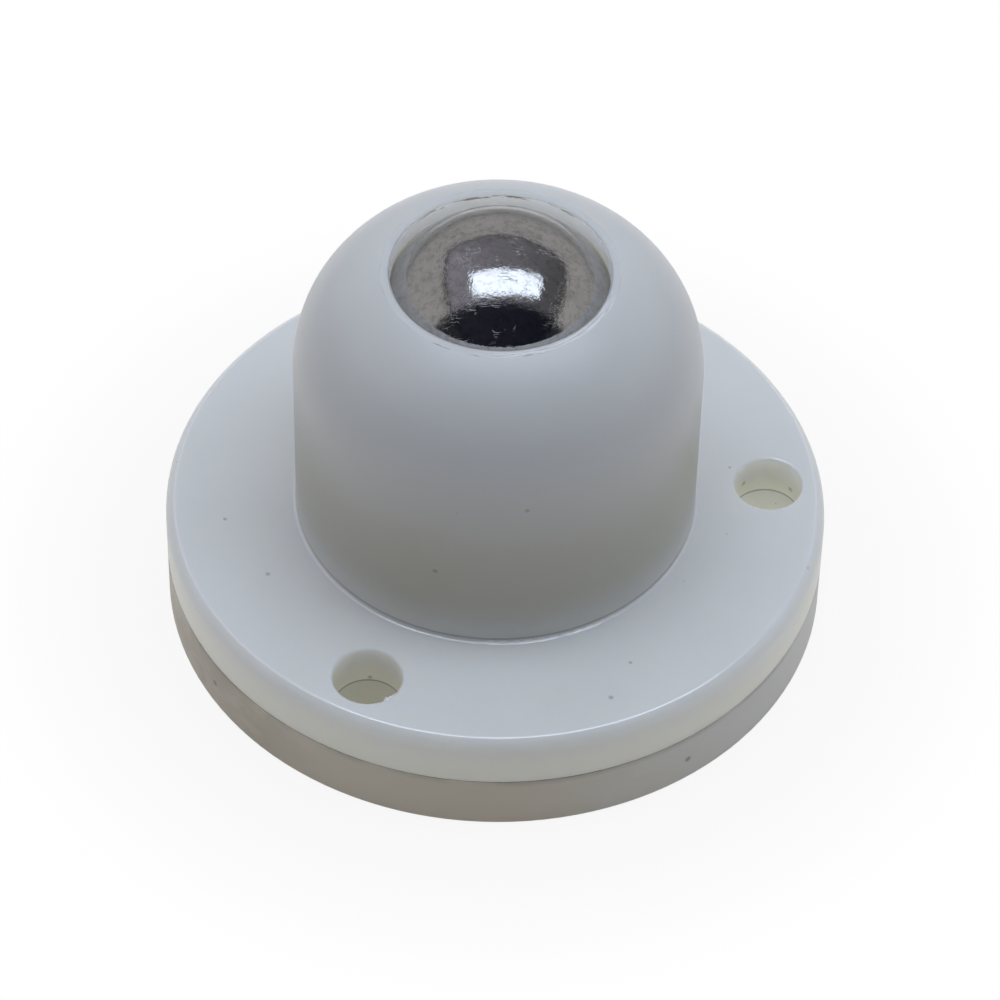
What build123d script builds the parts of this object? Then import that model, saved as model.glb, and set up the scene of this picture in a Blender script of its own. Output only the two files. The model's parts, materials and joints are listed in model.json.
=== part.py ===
from build123d import *
import os
from math import acos, asin, degrees, pi, sin, sqrt

# Ball castor: a steel ball on a bed of small balls, in a nylon housing closed from below by a base plate.
# Millimetres, +Z up, origin at the centre of the base plate's underside.

# Load ball and its bearing
ball_diameter = 25.4
ball_stand_out = 4.5            # height of the ball's top above the lip of the housing
ball_clearance = 0.15           # between the ball and its socket in the housing
bearing_ball_diameter = 4.7625
bearing_rows = 2                # rows of bearing balls around the middle one
bearing_ball_spacing = 0.05     # between neighbours in a row
bearing_clearance = 0.05        # from a bearing ball to the load ball, and to the race cup
cup_wall = 1.2
cup_land = 0.75                 # width of the cup's edge that lies under the housing's shoulder
cup_seat_clearance = 0.05

# Dome of the housing
dome_diameter = 42.4
dome_height = 32.7              # from the flange's top face to the lip
shoulder_radius = 14.5          # round from the dome's wall up to the lip
lip_land = 0.95                 # flat ring round the opening
lip_edge_radius = 0.15          # round on the opening's upper edge
lip_depth = 2.0                 # straight wall of the opening, above the ball's socket
dome_root_radius = 0.35         # fillet where the dome meets the flange
bore_relief = 0.2               # the bore below the ball's widest line is this much wider than the socket

# Flange and base plate
flange_width = 13.8             # how far the flange stands out from the dome
flange_thickness = 5.9
flange_edge_radius = 1.8        # round on the flange's upper edge
flange_edge_inset = 0.95        # how far in from the outside this round would meet the top face
flange_edge_blend = 0.4         # small round between that one and the top face, which makes a crisp line
base_thickness = 6.65
base_edge_break = 0.3
parting_gap = 0.1               # open joint that shows between the two discs
register_height = 1.35          # raised face of the base plate, which seats in a recess under the flange
register_margin = 1.4           # width of the flange's ring outside the recess
register_clearance = 0.1
spigot_rim = 1.35               # wall of the base plate's spigot outside the race cup
spigot_clearance = 0.05
spigot_lead = 0.5               # chamfer that leads the spigot into the housing
spigot_end_gap = 0.1            # from the spigot's end to the housing's shoulder

# Screw holes, through the flange and the base plate
screw_hole_count = 3
screw_hole_diameter = 7.2
screw_hole_angle = 4.2          # of the first hole, from +X
screw_circle_shift = 1.0        # how far the hole circle lies outside the middle of the flange's free width
screw_hole_edge_radius = 0.3    # round on the outer edge of each hole

# Radii that follow from these sizes
ball_radius = ball_diameter / 2
bearing_ball_radius = bearing_ball_diameter / 2
socket_radius = ball_radius + ball_clearance
bed_radius = ball_radius + bearing_clearance + bearing_ball_radius
cup_inner_radius = bed_radius + bearing_ball_radius + bearing_clearance
cup_outer_radius = cup_inner_radius + cup_wall
dome_radius = dome_diameter / 2
flange_radius = dome_radius + flange_width
register_radius = flange_radius - register_margin
screw_hole_radius = screw_hole_diameter / 2
screw_circle_radius = dome_radius + flange_width / 2 + screw_circle_shift

# Heights that follow from these sizes
flange_underside = base_thickness + parting_gap
seat_height = base_thickness + register_height
flange_top = flange_underside + flange_thickness
lip_height = flange_top + dome_height
ball_height = lip_height + ball_stand_out - ball_radius

# Opening of the housing: its straight wall ends on the ball's socket
lip_edge_height = lip_height - lip_depth
opening_radius = sqrt(socket_radius**2 - (lip_edge_height - ball_height) ** 2)


def row_count(row):
    """Bearing balls in a row: one in the middle, then six more in each row."""
    return 6 * row if row else 1


def row_radius(row):
    """Radius of a row of bearing balls, as wide as its balls need side by side."""
    pitch = bearing_ball_diameter + bearing_ball_spacing
    return pitch / (2 * sin(pi / row_count(row))) if row else 0.0


# Bore of the housing, wide enough for the load ball and for the widest row of bearing balls
row_reach = row_radius(bearing_rows) + bearing_ball_radius + bearing_clearance
bore_radius = max(socket_radius, row_reach) + bore_relief
cup_edge_radius = bore_radius + cup_land
cup_edge_height = ball_height - sqrt(cup_inner_radius**2 - cup_edge_radius**2)
pocket_radius = cup_edge_radius + cup_seat_clearance
spigot_radius = pocket_radius + spigot_rim
spigot_bore_radius = spigot_radius + spigot_clearance
housing_shoulder_height = cup_edge_height + spigot_end_gap


def turned(edges):
    """Solid turned about Z from a closed outline of radius and height."""
    return revolve(Plane.XZ * make_face(edges), Axis.Z)


def bored(radius, low, high):
    """Cylinder about Z between two heights, to cut a bore with."""
    return Pos(0, 0, low) * Cylinder(radius, high - low, align=(Align.CENTER, Align.CENTER, Align.MIN))


def screw_holes(mouth, end):
    """Cutters for the screw holes, rounded at the mouth, from its face to a height past the other face."""
    upward = 1 if mouth > end else -1
    round_centre = (screw_hole_radius + screw_hole_edge_radius, mouth - upward * screw_hole_edge_radius)
    mouth_round = CenterArc(round_centre, screw_hole_edge_radius, 180, -90 * upward)
    cutter = turned([
        Polyline((0, mouth), (0, end), (screw_hole_radius, end), mouth_round @ 0),
        mouth_round,
        Line(mouth_round @ 1, (0, mouth)),
    ])
    places = PolarLocations(screw_circle_radius, screw_hole_count, start_angle=screw_hole_angle)
    return [place * cutter for place in places]


def housing():
    """Dome and flange in one piece, bored from below for the ball and the base plate's spigot."""
    edge_centre = flange_radius - flange_edge_radius
    edge_rise = sqrt(flange_edge_radius**2 - (flange_edge_radius - flange_edge_inset) ** 2)
    edge_start = flange_top - edge_rise
    blend_reach = flange_edge_radius - flange_edge_blend
    blend_angle = degrees(asin((edge_rise - flange_edge_blend) / blend_reach))
    blend_centre = CenterArc((edge_centre, edge_start), blend_reach, 0, blend_angle) @ 1
    lip_outer_radius = opening_radius + lip_land
    shoulder_centre = dome_radius - shoulder_radius
    shoulder_angle = acos((lip_outer_radius - shoulder_centre) / shoulder_radius)
    shoulder_start = lip_height - shoulder_radius * sin(shoulder_angle)
    root_centre = (dome_radius + dome_root_radius, flange_top + dome_root_radius)

    flange_edge = CenterArc((edge_centre, edge_start), flange_edge_radius, 0, blend_angle)
    edge_blend = CenterArc(blend_centre, flange_edge_blend, blend_angle, 90 - blend_angle)
    dome_root = CenterArc(root_centre, dome_root_radius, 270, -90)
    shoulder = CenterArc((shoulder_centre, shoulder_start), shoulder_radius, 0, degrees(shoulder_angle))
    side = Polyline((0, flange_underside), (flange_radius, flange_underside), flange_edge @ 0)
    outline = [
        side,
        flange_edge,
        edge_blend,
        Line(edge_blend @ 1, dome_root @ 0),
        dome_root,
        Line(dome_root @ 1, shoulder @ 0),
        shoulder,
        Polyline(shoulder @ 1, (0, lip_height), (0, flange_underside)),
    ]
    body = turned(outline)

    body -= bored(register_radius + register_clearance, flange_underside, seat_height)
    body -= bored(spigot_bore_radius, flange_underside, housing_shoulder_height)
    body -= bored(bore_radius, flange_underside, ball_height)
    body -= Pos(0, 0, ball_height) * Sphere(socket_radius)
    body -= bored(opening_radius, ball_height, lip_height)
    body -= screw_holes(flange_top, 0)
    lip_edges = body.edges().filter_by(GeomType.CIRCLE).group_by(Axis.Z)[-1]
    return fillet(lip_edges.sort_by(SortBy.RADIUS)[0], lip_edge_radius)


def base_plate():
    """Disc under the flange, with a register that centres it and a spigot that carries the race cup."""
    outline = Polyline(
        (0, 0),
        (flange_radius - base_edge_break, 0),
        (flange_radius, base_edge_break),
        (flange_radius, base_thickness),
        (register_radius, base_thickness),
        (register_radius, seat_height),
        (spigot_radius, seat_height),
        (spigot_radius, cup_edge_height - spigot_lead),
        (spigot_radius - spigot_lead, cup_edge_height),
        (0, cup_edge_height),
        close=True,
    )
    body = turned([outline])
    pocket_floor = Pos(0, 0, ball_height) * Sphere(cup_outer_radius + cup_seat_clearance)
    body -= pocket_floor & bored(pocket_radius, 0, ball_height)
    body -= screw_holes(0, flange_top)
    return body


def race_cup():
    """Dish of even wall, concentric with the load ball, that the bearing balls roll in."""
    centre = (0, ball_height)
    inside = CenterArc(centre, cup_inner_radius, -90, degrees(asin(cup_edge_radius / cup_inner_radius)))
    outside = CenterArc(centre, cup_outer_radius, -90, degrees(asin(cup_edge_radius / cup_outer_radius)))
    return turned([inside, Line(inside @ 1, outside @ 1), outside, Line(outside @ 0, inside @ 0)])


def bearing_balls():
    """Bearing balls in rows round the bottom of the load ball, each as deep as the race cup lets it lie."""
    balls = []
    for row in range(bearing_rows + 1):
        depth = sqrt(bed_radius**2 - row_radius(row) ** 2)
        for place in PolarLocations(row_radius(row), row_count(row)):
            balls.append(Pos(0, 0, ball_height - depth) * place * Sphere(bearing_ball_radius))
    return balls


pieces = {
    "housing": housing(),
    "base_plate": base_plate(),
    "race_cup": race_cup(),
    "load_ball": Pos(0, 0, ball_height) * Sphere(ball_radius),
}
for number, ball in enumerate(bearing_balls(), start=1):
    pieces[f"bearing_ball_{number:02d}"] = ball

os.makedirs("parts", exist_ok=True)
for name, piece in pieces.items():
    export_step(piece, f"parts/{name}.step")
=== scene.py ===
import json
import math

import bmesh
import bpy
from mathutils import Matrix, Vector


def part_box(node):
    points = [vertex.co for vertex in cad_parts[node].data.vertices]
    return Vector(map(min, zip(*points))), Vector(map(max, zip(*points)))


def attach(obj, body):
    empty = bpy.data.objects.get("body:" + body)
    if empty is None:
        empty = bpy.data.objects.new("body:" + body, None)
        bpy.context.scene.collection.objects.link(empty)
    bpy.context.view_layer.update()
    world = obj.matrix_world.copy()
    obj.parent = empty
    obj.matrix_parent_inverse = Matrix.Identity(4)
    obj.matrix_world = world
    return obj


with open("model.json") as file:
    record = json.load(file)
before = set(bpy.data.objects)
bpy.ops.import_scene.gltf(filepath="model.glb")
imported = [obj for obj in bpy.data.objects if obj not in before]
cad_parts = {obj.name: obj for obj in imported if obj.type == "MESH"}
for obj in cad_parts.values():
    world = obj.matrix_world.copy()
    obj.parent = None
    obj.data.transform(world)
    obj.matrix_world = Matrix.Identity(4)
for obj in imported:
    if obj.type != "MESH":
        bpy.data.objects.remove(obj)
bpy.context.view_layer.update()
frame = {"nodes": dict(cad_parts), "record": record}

print("frame loaded,", len(frame["nodes"]), "nodes")

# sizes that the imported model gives, in mm
screwHoles = next(mount for mount in frame["record"]["mounts"] if mount["name"] == "screw_holes")
flangeTop = screwHoles["pos_m"][2] * 1000
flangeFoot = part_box("housing")[0].z * 1000
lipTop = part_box("housing")[1].z * 1000
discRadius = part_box("housing")[1].x * 1000
holeCircle = screwHoles["dims"]["pcd_mm"] / 2
holeRadius = screwHoles["dims"]["hole_r_mm"]
holeCount = screwHoles["dims"]["count"]
firstHole = 4.2               # degrees from +X


# one socket of a node tree: sums on it add Math nodes, and node() adds any other node
class Wire:
    def __init__(self, tree, socket=None):
        self.tree = tree
        self.socket = socket

    def node(self, kind, settings=None, plugs=None, out=0):
        made = self.tree.nodes.new("ShaderNode" + kind)
        for name, value in (settings or {}).items():
            if name == "stops":
                setStops(made.color_ramp, value)
            else:
                setattr(made, name, value)
        for key, value in (plugs or {}).items():
            if isinstance(value, Wire):
                self.tree.links.new(value.socket, made.inputs[key])
            else:
                made.inputs[key].default_value = value
        return Wire(self.tree, made.outputs[out] if made.outputs else None)

    def maths(self, operation, *values):
        return self.node("Math", {"operation": operation}, dict(enumerate(values)))

    def __add__(self, other):
        return self.maths("ADD", self, other)

    __radd__ = __add__

    def __sub__(self, other):
        return self.maths("SUBTRACT", self, other)

    def __rsub__(self, other):
        return self.maths("SUBTRACT", other, self)

    def __mul__(self, other):
        return self.maths("MULTIPLY", self, other)

    __rmul__ = __mul__

    def __pow__(self, other):
        return self.maths("POWER", self, other)

    def __abs__(self):
        return self.maths("ABSOLUTE", self)

    def most(self, other):
        return self.maths("MAXIMUM", self, other)

    def least(self, other):
        return self.maths("MINIMUM", self, other)

    # smooth step from 0 at low to 1 at high; low may be the larger one
    def ease(self, low, high):
        plugs = {"Value": self, "From Min": low, "From Max": high}
        return self.node("MapRange", {"interpolation_type": "SMOOTHSTEP"}, plugs)

    # 1 within half of the middle, 0 past half + soft
    def band(self, middle, half, soft):
        return abs(self - middle).ease(half + soft, half)

    def parts(self):
        split = self.node("SeparateXYZ", plugs={0: self}).socket.node
        return [Wire(self.tree, socket) for socket in split.outputs]

    def joined(self, x, y, z):
        return self.node("CombineXYZ", plugs={0: x, 1: y, 2: z})

    def stretched(self, amounts):
        return self.node("VectorMath", {"operation": "MULTIPLY"}, {0: self, 1: amounts})

    def away(self, point):
        return self.node("VectorMath", {"operation": "DISTANCE"}, {0: self, 1: point}, out=1)

    def noise(self, scale, detail=2.0, rough=0.5):
        plugs = {"Vector": self, "Scale": scale, "Detail": detail, "Roughness": rough}
        return self.node("TexNoise", plugs=plugs)

    # how far a point is from the middle of its cell
    def cells(self, scale):
        return self.node("TexVoronoi", plugs={"Vector": self, "Scale": scale}, out="Distance")

    # this wire is the share of the second colour; a Mix node has its colours at 6 and 7, and gives one at 2
    def between(self, one, other):
        plugs = {0: self, 6: paint(one), 7: paint(other)}
        return self.node("Mix", {"data_type": "RGBA"}, plugs, out=2)

    # this wire is a colour, and the other one is a wire or three numbers
    def towards(self, colour, share):
        plugs = {0: share, 6: self, 7: colour if isinstance(colour, Wire) else paint(colour)}
        return self.node("Mix", {"data_type": "RGBA"}, plugs, out=2)


def setStops(ramp, stops):
    while len(ramp.elements) < len(stops):
        ramp.elements.new(1.0)
    for element, (place, colour) in zip(ramp.elements, stops):
        element.position = place
        element.color = paint(colour)


def paint(colour):
    return (*colour, 1.0)


# an empty material, and the wire that its nodes grow from
def newFinish(name):
    material = bpy.data.materials.new(name)
    material.use_nodes = True
    material.node_tree.nodes.clear()
    return material, Wire(material.node_tree)


# a point's place in mm
def millimetres(wire):
    return wire.node("TexCoord", out="Object").stretched((1000, 1000, 1000))


# the same, with its radius and turn about the ball's axis
def lathePlace(wire):
    place = millimetres(wire)
    x, y, z = place.parts()
    radius = (x * x + y * y) ** 0.5
    turn = wire.maths("ARCTAN2", y, x)
    return place, x, y, z, radius, turn


# depth in mm
def bumped(wire, height, depth, strength):
    plugs = {"Strength": strength, "Distance": depth / 1000, "Height": height}
    return wire.node("Bump", plugs=plugs)


# light that goes in and comes out elsewhere: its share, and how deep it goes, in mm
def glowing(share, depth):
    return {"Subsurface Weight": share, "Subsurface Scale": depth / 1000}


# each change is a mask and the other socket values that the surface has there
def closeFinish(wire, sockets, *changes):
    settings = {"subsurface_method": "RANDOM_WALK"}
    shader = wire.node("BsdfPrincipled", settings, sockets)
    for share, others in changes:
        other = wire.node("BsdfPrincipled", settings, sockets | others)
        shader = wire.node("MixShader", plugs={0: share, 1: shader, 2: other})
    wire.node("OutputMaterial", plugs={"Surface": shader})


def holePlace(number):
    angle = math.radians(firstHole + 360 / holeCount * number)
    return holeCircle * math.cos(angle), holeCircle * math.sin(angle)


# how far a point is from the nearest screw hole's axis
def holeDistance(x, y):
    nearest = None
    for number in range(holeCount):
        holeX, holeY = holePlace(number)
        across = x - holeX
        along = y - holeY
        distance = (across * across + along * along) ** 0.5
        nearest = distance if nearest is None else nearest.least(distance)
    return nearest


spotCore = 0.35               # share of a stain's size that is full


# small round stains at chosen places, joined into one mask
def stains(place, spots):
    mask = None
    for x, y, z, size in spots:
        spot = place.away((x, y, z)).ease(size, size * spotCore)
        mask = spot if mask is None else mask.most(spot)
    return mask


# fine rings that turning left on the nylon, in waves for each mm and each radian
turning = {"across": 5.0, "along": 0.4}


def turningMarks(wire, radius, z, turn, plan):
    marks = wire.joined(radius * plan["across"], z * plan["across"], turn * plan["along"])
    return marks.noise(1.0, detail=3.0)


# the photo's view: a long lens, a little over half way down to level
photoView = {
    "pixels": 1000.0,
    "focalPixels": 4756.6,
    "pitch": 47.025,          # degrees below the horizon
    "roll": 1.3077,
    "right": -0.4647,         # where the middle of the flange's face lies in the view, mm
    "down": -0.8318,
    "ahead": 505.164,
    "sensor": 36.0,
    "nearest": 0.01,          # metres
}


def makeCamera(view):
    pitch, roll = math.radians(view["pitch"]), math.radians(view["roll"])
    level = Vector((1, 0, 0))
    ahead = Vector((0, math.cos(pitch), -math.sin(pitch)))
    under = ahead.cross(level)
    right = math.cos(roll) * level - math.sin(roll) * under
    down = math.sin(roll) * level + math.cos(roll) * under
    aim = Vector((0, 0, flangeTop))
    place = aim - right * view["right"] - down * view["down"] - ahead * view["ahead"]
    lens = bpy.data.cameras.new("photoCamera")
    lens.sensor_width = view["sensor"]
    lens.lens = view["focalPixels"] / view["pixels"] * view["sensor"]
    lens.clip_start = view["nearest"]
    camera = bpy.data.objects.new("photoCamera", lens)
    bpy.context.scene.collection.objects.link(camera)
    turn = Matrix((right, -down, -ahead)).transposed().to_4x4()
    camera.matrix_world = Matrix.Translation(place / 1000) @ turn
    bpy.context.scene.camera = camera


makeCamera(photoView)
print("camera set")

# studio: a grey room with a darker ceiling, and a dark flag on the camera's side
# places in it are parts of a direction of length 1
room = {
    "walls": [                    # from the horizon up
        (0.00, (0.42, 0.417, 0.418)),
        (0.12, (0.525, 0.518, 0.517)),
        (0.30, (0.57, 0.562, 0.555)),
        (0.60, (0.52, 0.51, 0.505)),
    ],
    "sides": (0.58, 0.57, 0.555),
    "sidesReach": (0.5, 1.0),
    "sidesShare": 0.5,
    "ceiling": [                  # from left to right
        (0.20, (0.40, 0.39, 0.44)),
        (0.50, (0.275, 0.27, 0.30)),
        (0.64, (0.25, 0.245, 0.27)),
        (0.85, (0.15, 0.148, 0.16)),
    ],
    "ceilingEdges": (1.08, 1.50, 1.25),      # how far it reaches left, right and back, for a height of 1
    "ceilingSoft": 0.02,
    "shade": (0.10, 0.10, 0.105),            # a dark line along those edges
    "shadeWidth": (0.02, 0.04),              # half of it, and how soft it is
    "shadeFoot": (0.2, 0.4),
    "flag": (-0.26, -0.40),       # the flag's soft edge, as how far a direction points to the camera's side
    "flagFoot": (0.03, 0.10),     # and how high it starts
    "flagDepth": 0.93,
    "flagColour": (0.004, 0.006, 0.018),
    "backdrop": (1.0, 1.0, 1.0),
}


def makeRoom(plan):
    world = bpy.data.worlds.new("room")
    bpy.context.scene.world = world
    world.use_nodes = True
    world.node_tree.nodes.clear()
    wire = Wire(world.node_tree)
    x, y, z = wire.node("TexCoord", out="Generated").parts()
    left, right, back = plan["ceilingEdges"]
    inside = (x + z * left).least(z * right - x).least(z * back - y)
    colour = wire.node("ValToRGB", {"stops": plan["walls"]}, {0: z})
    colour = colour.towards(plan["sides"], abs(x).ease(*plan["sidesReach"]) * plan["sidesShare"])
    ceiling = wire.node("ValToRGB", {"stops": plan["ceiling"]}, {0: x * 0.5 + 0.5})
    colour = colour.towards(ceiling, inside.ease(-plan["ceilingSoft"], plan["ceilingSoft"]))
    shaded = inside.band(0.0, *plan["shadeWidth"]) * z.ease(*plan["shadeFoot"])
    colour = colour.towards(plan["shade"], shaded)
    flag = y.ease(*plan["flag"]) * z.ease(*plan["flagFoot"]) * plan["flagDepth"]
    colour = colour.towards(plan["flagColour"], flag)
    colour = colour.towards(plan["backdrop"], wire.node("LightPath", out="Is Camera Ray"))
    shader = wire.node("Background", plugs={"Color": colour})
    wire.node("OutputWorld", plugs={"Surface": shader})


# lamps: a long softbox overhead that the ball mirrors, a broad one behind, a low strip in front
lamps = {
    "softbox": {
        "place": (0.15, -0.01, 1.24),
        "aim": (0.15, -0.01, 0.0),
        "turn": 3.5,              # degrees about the way it faces
        "size": (1.38, 0.53),
        "power": 5.2,
        "colour": (0.88, 1.0, 1.165),
        "mirrored": True,
    },
    "back": {
        "place": (0.30, 0.60, 1.80),
        "aim": (0.0, 0.0, 0.0),
        "turn": 0.0,
        "size": (3.0, 2.2),
        "power": 7.45,
        "colour": (0.88, 1.0, 1.15),
        "mirrored": False,
    },
    "strip": {
        "place": (0.0, -0.12, 0.06),
        "aim": (0.0, -0.12, 0.0),
        "turn": 0.0,
        "size": (0.28, 0.10),
        "power": 0.015,
        "colour": (1.0, 0.97, 0.90),
        "mirrored": False,
    },
}


def makeLamp(name, plan):
    lamp = bpy.data.lights.new(name, "AREA")
    lamp.shape = "RECTANGLE"
    lamp.size, lamp.size_y = plan["size"]
    lamp.color = plan["colour"]
    lamp.energy = plan["power"]
    box = bpy.data.objects.new(name, lamp)
    box.location = plan["place"]
    box.rotation_euler = (Vector(plan["aim"]) - box.location).to_track_quat("-Z", "Y").to_euler()
    box.rotation_euler.rotate_axis("Z", math.radians(plan["turn"]))
    box.visible_glossy = plan["mirrored"]
    box.visible_camera = False
    bpy.context.scene.collection.objects.link(box)


# floor, in metres
floorPlan = {
    "radius": 3.0,
    "segments": 96,
    "height": -0.0001,            # just clear of the base plate's underside
    "colour": (0.82, 0.785, 0.71),
    "grainScale": 40.0,
    "grainShade": 0.93,           # of that colour
    "grainShare": 0.15,
    "glow": 0.90,                 # share of plain white that the eye sees in the floor near the object
    "fade": (0.040, 0.060),       # from here on outwards it is white only
    "sheet": (0.25, 0.12),        # gloss sees that white too, as far as this
}


def makeFloor(plan):
    mesh = bpy.data.meshes.new("floor")
    shape = bmesh.new()
    bmesh.ops.create_circle(shape, cap_ends=True, segments=plan["segments"], radius=plan["radius"])
    shape.to_mesh(mesh)
    shape.free()
    floor = bpy.data.objects.new("floor", mesh)
    floor.location.z = plan["height"]
    bpy.context.scene.collection.objects.link(floor)
    material, wire = newFinish("paleFloor")
    place = wire.node("TexCoord", out="Object")
    grain = place.noise(plan["grainScale"], detail=4.0) * plan["grainShare"]
    pale = grain.between(plan["colour"], [part * plan["grainShade"] for part in plan["colour"]])
    distance = place.away((0, 0, 0))
    white = distance.ease(*plan["fade"]) * (1 - plan["glow"]) + plan["glow"]
    mirrored = wire.node("LightPath", out="Is Glossy Ray")
    mirrored = mirrored.most(wire.node("LightPath", out="Is Transmission Ray"))
    seen = wire.node("LightPath", out="Is Camera Ray").most(mirrored * distance.ease(*plan["sheet"]))
    matt = wire.node("BsdfDiffuse", plugs={"Color": pale})
    glow = wire.node("Emission", plugs={"Color": paint((1, 1, 1)), "Strength": 1.0})
    shader = wire.node("MixShader", plugs={0: seen * white, 1: matt, 2: glow})
    wire.node("OutputMaterial", plugs={"Surface": shader})
    mesh.materials.append(material)


bounces = 24                  # the pale screw holes need many

makeRoom(room)
for name, plan in lamps.items():
    makeLamp(name, plan)
makeFloor(floorPlan)
bpy.context.scene.view_settings.view_transform = "Standard"
bpy.context.scene.cycles.max_bounces = bounces
bpy.context.scene.cycles.diffuse_bounces = bounces
print("studio lit")

# housing: satin natural nylon, with dirt caught at the ball's opening; painted shade on the dome, painted
# warm yellow glow at the flange's edge and in the openings, painted highlights on thin edges
# sizes are in mm: out is past a radius, depth below the lip's top, rise above the flange's face
# two numbers are where a mask starts and is full, three are a band's middle, half width and softness
housingNylon = {
    "pale": (0.85, 0.857, 0.84),
    "cloudy": (0.825, 0.832, 0.81),
    "clouds": {"scale": 0.07, "reach": (0.35, 0.7)},
    "grainScale": 2.2,
    "domeRadius": 21.2,
    "openingRadius": 11.256,
    "landRadius": 12.2,
    "ior": 1.53,
    "roughness": 0.36,
    "uneven": {"grain": 0.16, "rings": 0.1, "shine": -0.2},      # what these add to it
    "relief": {"rings": 0.7, "grain": 0.3, "scuffs": 2.0, "depth": 0.02, "strength": 0.35},
    "glowColour": (1.0, 0.93, 0.74),
    "glow": (0.4, 2.0),           # share and depth of the light through the nylon, outside
    "openingGlow": (1.0, 40.0),   # inside the ball's opening
    "holeGlow": (0.0, 2.0),       # in the screw holes
    "rimGlow": (1.0, 4.0),        # and near their upper rims
    # painted warm glow on the flange's edge and side, a little yellow
    "edge": {"colour": (0.97, 0.955, 0.83), "width": 1.2},
    "shell": {                    # painted shade on the dome: a cool grey above, a darker warm grey low down
        "colour": (0.585, 0.592, 0.605),
        "lowColour": (0.50, 0.49, 0.435),
        "out": (0.5, 0.1),
        "depth": (-8.0, 14.0),
        "lowDepth": (9.0, 24.0),
        "rise": (-2.0, 7.0),
    },
    "wall": {                     # painted bright glow inside the opening and the screw holes
        "colour": (1.0, 0.995, 0.91),
        "lipOut": (0.3, 0.05),
        "holeOut": (0.25, 0.0),
        "holeRise": (0.0, -0.5),
        "rimRise": (-4.0, -1.0),
    },
    "socket": {                   # under the opening's straight wall
        "colour": (0.55, 0.54, 0.51),
        "radius": (13.1, 12.95),
        "glowDepth": (1.0, 1.6),
        "endDepth": (9.0, 6.0),
        "colourDepth": (1.8, 2.1),
    },
    # dark colour of the dirt and specks, and of the painted shade in the dome's foot
    "dirt": (0.075, 0.07, 0.06),
    "dashes": {"along": 5.0, "across": 2.5},      # waves for each radian and each mm
    "mouth": {                    # dirt in dashes on the opening's upper edge, most of it on the far side
        "out": (0.05, 0.1, 0.12),
        "depth": (0.22, 0.08, 0.14),
        "turn": (1.62, 0.55, 0.5),           # radians
        "share": (0.85, 0.15),               # on that side, and all round
        "dashes": (0.44, 0.52),
    },
    "land": {                     # and on the lip's outer edge, most of it on the near side
        "out": (0.0, 0.03, 0.09),
        "depth": (0.4, 0.2),
        "turn": (-1.68, 0.35, 0.3),
        "share": (0.5, 0.1),
        "dashes": (0.46, 0.54),
    },
    "root": {"out": (0.0, 0.05, 0.1), "rise": (0.5, 0.06, 0.14), "share": 0.35},      # painted shade: a thin dark line in the dome's foot
    "dust": {"scale": 0.16, "reach": (0.022, 0.012), "share": 0.3},
    "spotGrain": (0.2, 0.5),
    "spotShare": 0.4,
    "spots": [                    # x, y, z and size of the larger specks
        (-23.56, -12.44, 12.65, 0.34),
        (-28.48, -4.77, 12.65, 0.28),
        (33.02, -9.71, 12.65, 0.36),
        (12.28, -28.33, 12.65, 0.36),
        (14.28, -23.54, 12.65, 0.26),
        (24.97, 4.39, 12.65, 0.26),
        (-5.97, -20.34, 22.46, 0.42),
        (3.26, -20.95, 32.41, 0.34),
        (-12.57, -22.60, 8.35, 0.38),
        (26.58, 4.78, 9.81, 0.42),
        (31.65, 4.60, 9.23, 0.42),
    ],
    "scuffs": {                   # along the near right part of the lip
        "pale": (0.97, 0.97, 0.97),
        "paleReach": (0.44, 0.58),
        "scrape": (0.42, 0.42, 0.43),
        "scrapeReach": (0.44, 0.36),
        "scrapeShare": 0.6,
        "out": (-0.4, 0.3, 0.25),
        "depth": (0.6, 0.3),
        "turn": (-1.0, 0.5, 0.35),
        "along": 4.0,
        "across": 6.0,
    },
    # colour of the painted highlights on thin edges
    "burnished": (0.97, 0.975, 0.98),
    "coat": {"Coat Roughness": 0.12, "Coat IOR": 1.8},
    "crest": {"out": (-0.97, 0.1, 0.08), "rise": (-0.35, -0.1)},      # round the flange
    "foot": {"out": (0.22, 0.1, 0.1), "rise": (0.4, 0.2)},            # at the dome's foot
    "mouths": {                   # at the screw holes, on the side away from the dome
        "out": (0.17, 0.08, 0.08),
        "rise": (-0.3, -0.2),
        "outer": (-1.0, 2.0),     # past the circle of their axes
    },
}


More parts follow.
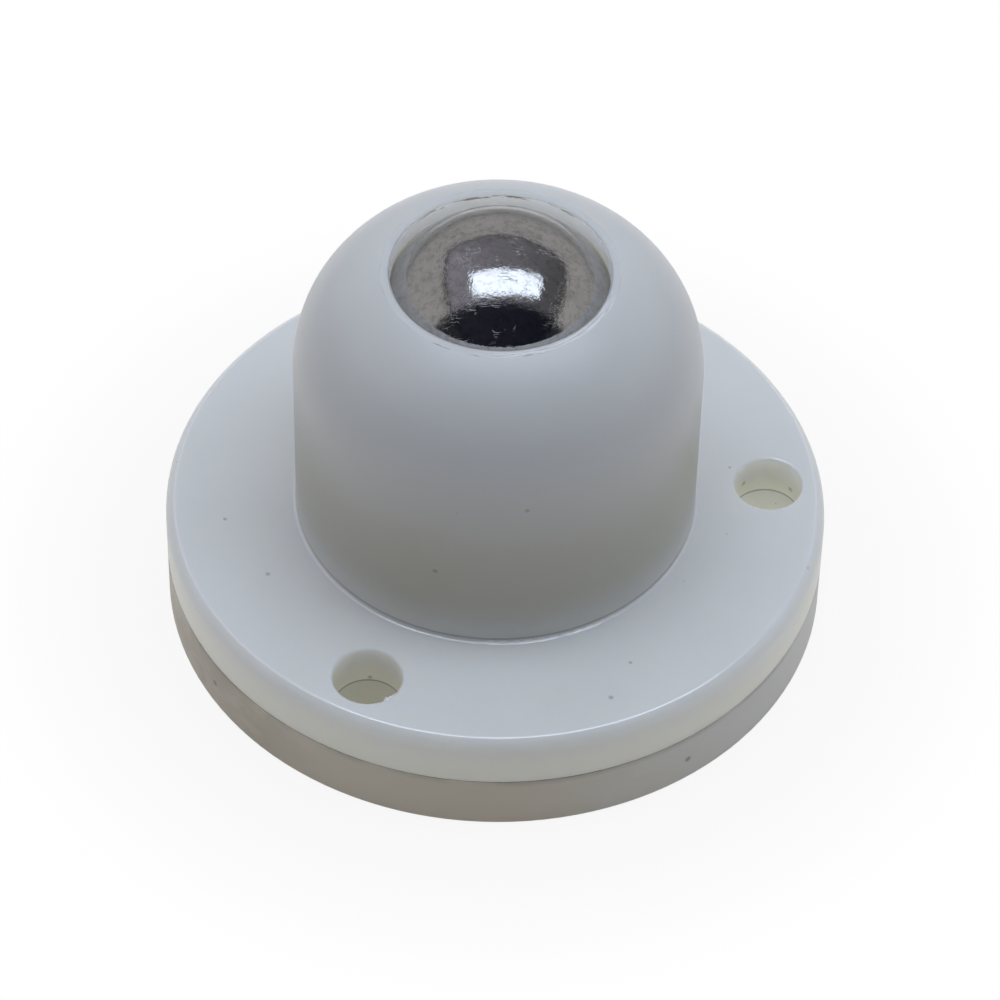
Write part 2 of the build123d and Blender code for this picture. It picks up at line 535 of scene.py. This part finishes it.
def housingFinish(plan, name):
    material, wire = newFinish(name)
    place, x, y, z, radius, turn = lathePlace(wire)
    depth = lipTop - z
    rise = z - flangeTop
    pastDome = radius - plan["domeRadius"]
    pastOpening = radius - plan["openingRadius"]
    pastLand = radius - plan["landRadius"]
    pastHole = holeDistance(x, y) - holeRadius
    clouds = place.noise(plan["clouds"]["scale"], detail=3.0)
    rings = turningMarks(wire, radius, z, turn, turning)
    grain = place.noise(plan["grainScale"], detail=4.0, rough=0.6)

    # base colour: clouded, with painted shade on the dome, a painted warm glow on the flange's edge, and a
    # painted bright glow inside the openings
    colour = clouds.ease(*plan["clouds"]["reach"]).between(plan["pale"], plan["cloudy"])
    # painted warm glow on the flange's edge and side
    edge = radius.ease(discRadius - plan["edge"]["width"], discRadius) * z.ease(flangeTop, flangeFoot)
    domeShadePlan = plan["shell"]
    shell = pastDome.ease(*domeShadePlan["out"]) * depth.ease(*domeShadePlan["depth"]) * rise.ease(*domeShadePlan["rise"])
    wall, socket = plan["wall"], plan["socket"]
    lip = pastOpening.ease(*wall["lipOut"])
    lip = lip.most(radius.ease(*socket["radius"]) * depth.ease(*socket["glowDepth"]))
    lip = lip * depth.ease(*socket["endDepth"])
    bore = pastHole.ease(*wall["holeOut"])
    hole = bore * rise.ease(*wall["holeRise"])
    rim = bore * rise.ease(*wall["rimRise"])
    # painted shade on the dome
    colour = colour.towards(domeShadePlan["colour"], shell)
    colour = colour.towards(domeShadePlan["lowColour"], shell * depth.ease(*domeShadePlan["lowDepth"]))
    colour = colour.towards(plan["edge"]["colour"], edge)
    # painted bright glow on the walls inside the openings
    colour = colour.towards(wall["colour"], hole.most(lip))
    colour = colour.towards(socket["colour"], lip * depth.ease(*socket["colourDepth"]))

    # dirt: dashes on the far edge of the opening and the near edge of the lip, and specks; painted shade as a
    # dark line in the dome's foot
    along, across = plan["dashes"]["along"], plan["dashes"]["across"]
    dashes = wire.joined(turn * along, z * across, radius * across).noise(1.0, detail=4.0, rough=0.6)
    mark = plan["mouth"]
    side, everywhere = mark["share"]
    mouth = pastOpening.band(*mark["out"]) * depth.band(*mark["depth"])
    mouth = mouth * (turn.band(*mark["turn"]) * side + everywhere) * dashes.ease(*mark["dashes"])
    mark = plan["land"]
    side, everywhere = mark["share"]
    land = pastLand.band(*mark["out"]) * depth.ease(*mark["depth"])
    land = land * (turn.band(*mark["turn"]) * side + everywhere) * dashes.ease(*mark["dashes"])
    mark = plan["root"]
    root = pastDome.band(*mark["out"]) * rise.band(*mark["rise"]) * mark["share"]
    mark = plan["dust"]
    dust = place.cells(mark["scale"]).ease(*mark["reach"]) * mark["share"]
    spots = stains(place, plan["spots"]) * grain.ease(*plan["spotGrain"]) * plan["spotShare"]
    dirtAndFootShade = mouth.most(land).most(root)
    colour = colour.towards(plan["dirt"], dirtAndFootShade.most(dust).most(spots))

    # scuffs
    mark = plan["scuffs"]
    scuffed = pastLand.band(*mark["out"]) * depth.ease(*mark["depth"]) * turn.band(*mark["turn"])
    streaks = wire.joined(turn * mark["along"], radius * mark["across"], 0.0)
    streaks = streaks.noise(1.0, detail=4.0, rough=0.65)
    colour = colour.towards(mark["pale"], scuffed * streaks.ease(*mark["paleReach"]))
    scraped = scuffed * streaks.ease(*mark["scrapeReach"]) * mark["scrapeShare"]
    colour = colour.towards(mark["scrape"], scraped)

    # painted highlights: thin lines on the flange's round, the dome's foot and the holes' outer rims, painted
    # whiter and given a coat
    mark = plan["crest"]
    crest = (radius - discRadius).band(*mark["out"]) * rise.ease(*mark["rise"])
    mark = plan["foot"]
    foot = pastDome.band(*mark["out"]) * rise.ease(*mark["rise"])
    mark = plan["mouths"]
    mouths = pastHole.band(*mark["out"]) * rise.ease(*mark["rise"])
    mouths = mouths * (radius - holeCircle).ease(*mark["outer"])
    shine = crest.most(foot).most(mouths)
    colour = colour.towards(plan["burnished"], shine)

    uneven, relief = plan["uneven"], plan["relief"]
    rough = (grain - 0.5) * uneven["grain"] + (rings - 0.5) * uneven["rings"] + shine * uneven["shine"]
    height = rings * relief["rings"] + grain * relief["grain"] + scuffed * streaks * relief["scuffs"]
    sockets = plan["coat"] | glowing(*plan["glow"]) | {
        "Base Color": colour,
        "Roughness": plan["roughness"] + rough,
        "Coat Weight": shine,
        "Normal": bumped(wire, height, relief["depth"], relief["strength"]),
        "IOR": plan["ior"],
        "Subsurface Radius": plan["glowColour"],
    }
    closeFinish(
        wire,
        sockets,
        (lip, glowing(*plan["openingGlow"])),
        (hole, glowing(*plan["holeGlow"])),
        (rim, glowing(*plan["rimGlow"])),
    )
    return material


# base plate: the same nylon, greyer, tan to the left and stained at its far left
baseNylon = {
    "pale": (0.63, 0.625, 0.60),
    "tan": (0.60, 0.548, 0.46),
    "tanReach": (24.0, 4.0),      # mm along x
    "tanRagged": 20.0,            # how far the blotches move that border, mm
    "stain": (0.43, 0.375, 0.295),
    "stainReach": (-14.0, -28.0),
    "stainBlotches": (0.15, 0.65),
    "blotches": {"stretch": (1.0, 1.0, 1.6), "scale": 0.16},
    "grainScale": 1.8,
    "holeOut": (0.25, 0.0),       # mm past a screw hole's radius
    # the screw holes' walls painted bright as a glow, less so in the left hole
    "hole": (1.0, 0.995, 0.96),
    "leftHoleGlow": (0.87, 0.85, 0.78),
    "leftHoleGlowReach": (5.0, -5.0),
    "dirt": (0.14, 0.125, 0.105),
    "joint": {                    # grime under the flange, at the outside
        "under": (1.0, 0.1),
        "out": (-1.0, -0.2),
        "blotches": (0.3, 0.6),
        "share": 0.35,
    },
    "seam": {                     # the joint inside the screw holes
        "seat": 8.0,              # height of the plate's upper face, mm
        "under": (0.3, 0.1),
        "share": 0.6,
    },
    "dust": {"scale": 0.22, "reach": (0.03, 0.016), "share": 0.5},
    "spotShare": 0.7,
    "spots": [
        (20.57, -28.32, 3.14, 0.5),
        (-28.94, -19.69, 3.45, 0.5),
    ],
    "ior": 1.53,
    "roughness": 0.45,
    "unevenGrain": 0.2,
    "relief": {"rings": 0.6, "grain": 0.4, "depth": 0.02, "strength": 0.4},
    "glowColour": (1.0, 0.92, 0.76),
    "glow": (0.25, 3.0),
}


def baseFinish(plan):
    material, wire = newFinish("baseNylon")
    place, x, y, z, radius, turn = lathePlace(wire)
    blotches = place.stretched(plan["blotches"]["stretch"])
    blotches = blotches.noise(plan["blotches"]["scale"], detail=4.0, rough=0.6)
    rings = turningMarks(wire, radius, z, turn, turning)
    grain = place.noise(plan["grainScale"], detail=4.0, rough=0.65)
    ragged = x + (blotches - 0.5) * plan["tanRagged"]
    colour = ragged.ease(*plan["tanReach"]).between(plan["pale"], plan["tan"])
    stained = blotches.ease(*plan["stainBlotches"]) * x.ease(*plan["stainReach"])
    colour = colour.towards(plan["stain"], stained)
    # painted glow: the screw holes' walls painted bright, less so at the left
    hole = (holeDistance(x, y) - holeRadius).ease(*plan["holeOut"])
    colour = colour.towards(plan["hole"], hole)
    colour = colour.towards(plan["leftHoleGlow"], hole * x.ease(*plan["leftHoleGlowReach"]))

    mark = plan["joint"]
    joint = (flangeFoot - z).ease(*mark["under"]) * (radius - discRadius).ease(*mark["out"])
    joint = joint * blotches.ease(*mark["blotches"]) * mark["share"]
    mark = plan["seam"]
    seam = hole * (mark["seat"] - z).ease(*mark["under"]) * mark["share"]
    mark = plan["dust"]
    dust = place.cells(mark["scale"]).ease(*mark["reach"]) * mark["share"]
    spots = stains(place, plan["spots"]) * plan["spotShare"]
    colour = colour.towards(plan["dirt"], joint.most(seam).most(dust).most(spots))

    relief = plan["relief"]
    height = rings * relief["rings"] + grain * relief["grain"]
    closeFinish(wire, glowing(*plan["glow"]) | {
        "Base Color": colour,
        "Roughness": plan["roughness"] + (grain - 0.5) * plan["unevenGrain"],
        "Normal": bumped(wire, height, relief["depth"], relief["strength"]),
        "IOR": plan["ior"],
        "Subsurface Radius": plan["glowColour"],
    })
    return material


# load ball: bright hardened steel with a fine ripple, smears and a few scratches
ballSteel = {
    "bright": (0.425, 0.42, 0.425),
    "dull": (0.30, 0.293, 0.28),
    "edgeTint": (0.85, 0.85, 0.85),      # how much it mirrors where seen at a flat angle
    "roughness": 0.07,
    "smearRoughness": 0.16,
    "smears": {"stretch": (1.0, 1.8, 1.0), "scale": 0.3, "reach": (0.45, 0.75), "share": 0.4},
    "mottle": {"scale": 1.4, "reach": (0.45, 0.65), "share": 0.8},
    "scratches": {
        "stretch": (0.15, 1.0, 1.0),
        "scale": 3.0,
        "band": (0.5, 0.004, 0.01),
        "patchScale": 0.4,
        "patchReach": (0.5, 0.62),
        "share": 0.3,
        "cut": 0.3,               # their depth, for a ripple of 1
    },
    "ripple": {"scale": 1.9, "depth": 0.02, "strength": 1.0},
}


def ballFinish(plan):
    material, wire = newFinish("ballSteel")
    place = millimetres(wire)
    mark = plan["smears"]
    smears = place.stretched(mark["stretch"]).noise(mark["scale"], detail=5.0, rough=0.6).ease(*mark["reach"])
    dulled = smears * mark["share"]
    mark = plan["mottle"]
    mottle = place.noise(mark["scale"], detail=6.0, rough=0.75).ease(*mark["reach"])
    dulled = dulled + mottle * mark["share"]
    mark = plan["scratches"]
    scratches = place.stretched(mark["stretch"]).noise(mark["scale"]).band(*mark["band"])
    scratches = scratches * place.noise(mark["patchScale"]).ease(*mark["patchReach"])
    dulled = dulled + scratches * mark["share"]
    ripple = plan["ripple"]
    height = place.noise(ripple["scale"], detail=3.0, rough=0.6) - scratches * mark["cut"]
    closeFinish(wire, {
        "Base Color": dulled.between(plan["bright"], plan["dull"]),
        "Metallic": 1.0,
        "Roughness": plan["roughness"] + smears * (plan["smearRoughness"] - plan["roughness"]),
        "Specular Tint": paint(plan["edgeTint"]),
        "Normal": bumped(wire, height, ripple["depth"], ripple["strength"]),
    })
    return material


# bearing balls and race cup: oiled steel, hidden inside
bearingSteel = {
    "bright": (0.58, 0.575, 0.56),
    "oily": (0.40, 0.37, 0.31),
    "oilReach": (0.4, 0.7),
    "filmScale": 0.6,
    "streaks": {"across": 3.0, "along": 0.6},      # in the cup, waves for each mm and each radian
    "roughness": 0.14,
    "filmRoughness": 0.2,
    "relief": {"depth": 0.01, "strength": 0.3},
}


def bearingFinish(plan, name, streaked):
    material, wire = newFinish(name)
    place, _, _, z, radius, turn = lathePlace(wire)
    if streaked:
        across, along = plan["streaks"]["across"], plan["streaks"]["along"]
        film = wire.joined(radius * across, z * across, turn * along).noise(1.0, detail=4.0)
    else:
        film = place.noise(plan["filmScale"], detail=4.0)
    closeFinish(wire, {
        "Base Color": film.ease(*plan["oilReach"]).between(plan["bright"], plan["oily"]),
        "Metallic": 1.0,
        "Roughness": plan["roughness"] + film * plan["filmRoughness"],
        "Normal": bumped(wire, film, plan["relief"]["depth"], plan["relief"]["strength"]),
    })
    return material


def dress(material, nodes):
    for name in nodes:
        piece = frame["nodes"][name]
        piece.material_slots[0].material = material


# a burr of nylon left on the near rim of one screw hole
# its section goes from sunk in the rim to raised, each point a radius about the hole's axis and a height, mm
burr = {
    "hole": 2,
    "turns": (-63.0, -57.0, -22.0),          # start, fullest and end, in degrees round the hole's axis
    "steps": 48,
    "sunk": [(4.05, -0.10), (3.85, -0.12), (3.75, -0.20), (3.70, -0.30), (3.70, -0.40), (3.75, -0.50)],
    "raised": [(4.05, 0.00), (3.80, 0.08), (3.45, 0.06), (3.26, -0.04), (3.28, -0.16), (3.62, -0.46)],
    "fullShare": 0.8,                        # mean share of the raised section where it is fullest
    "waves": [(0.15, 0.9, 0.0), (0.10, 2.3, 1.0)],      # in that share: size, radians for each degree, start
    "nylon": {                               # too small to glow
        "glow": (0.0, 2.0),
        "openingGlow": (0.0, 40.0),
        "rimGlow": (0.0, 4.0),
        "pale": (0.93, 0.93, 0.92),
        "cloudy": (0.90, 0.90, 0.88),
    },
}


def makeBurr(plan, material):
    middle = Vector((*holePlace(plan["hole"]), flangeTop))
    start, full, end = plan["turns"]
    shape = bmesh.new()
    rows = []
    for step in range(plan["steps"] + 1):
        turn = start + (end - start) * step / plan["steps"]
        share = (turn - start) / (full - start) if turn < full else (end - turn) / (end - full)
        waves = [size * math.sin(turn * pace + begin) for size, pace, begin in plan["waves"]]
        share = share * (plan["fullShare"] + sum(waves))
        side = Vector((math.cos(math.radians(turn)), math.sin(math.radians(turn)), 0))
        row = []
        for (low, lowHeight), (high, highHeight) in zip(plan["sunk"], plan["raised"]):
            out = low + (high - low) * share
            height = lowHeight + (highHeight - lowHeight) * share
            row.append(shape.verts.new((middle + side * out + Vector((0, 0, height))) / 1000))
        rows.append(row)
    for one, other in zip(rows, rows[1:]):
        for low in range(len(one)):
            high = (low + 1) % len(one)
            shape.faces.new((one[low], one[high], other[high], other[low]))
    shape.faces.new(rows[0])
    shape.faces.new(reversed(rows[-1]))
    bmesh.ops.recalc_face_normals(shape, faces=shape.faces)
    for face in shape.faces:
        face.smooth = True
    mesh = bpy.data.meshes.new("holeBurr")
    shape.to_mesh(mesh)
    shape.free()
    mesh.materials.append(material)
    piece = bpy.data.objects.new("holeBurr", mesh)
    bpy.context.scene.collection.objects.link(piece)
    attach(piece, "housing")


bearingBalls = sorted(name for name in frame["nodes"] if name.startswith("bearing_ball"))
dress(housingFinish(housingNylon, "housingNylon"), ["housing"])
makeBurr(burr, housingFinish(housingNylon | burr["nylon"], "burrNylon"))
dress(baseFinish(baseNylon), ["base_plate"])
dress(ballFinish(ballSteel), ["load_ball"])
dress(bearingFinish(bearingSteel, "bearingSteel", False), bearingBalls)
dress(bearingFinish(bearingSteel, "raceSteel", True), ["race_cup"])
print("finishes on")
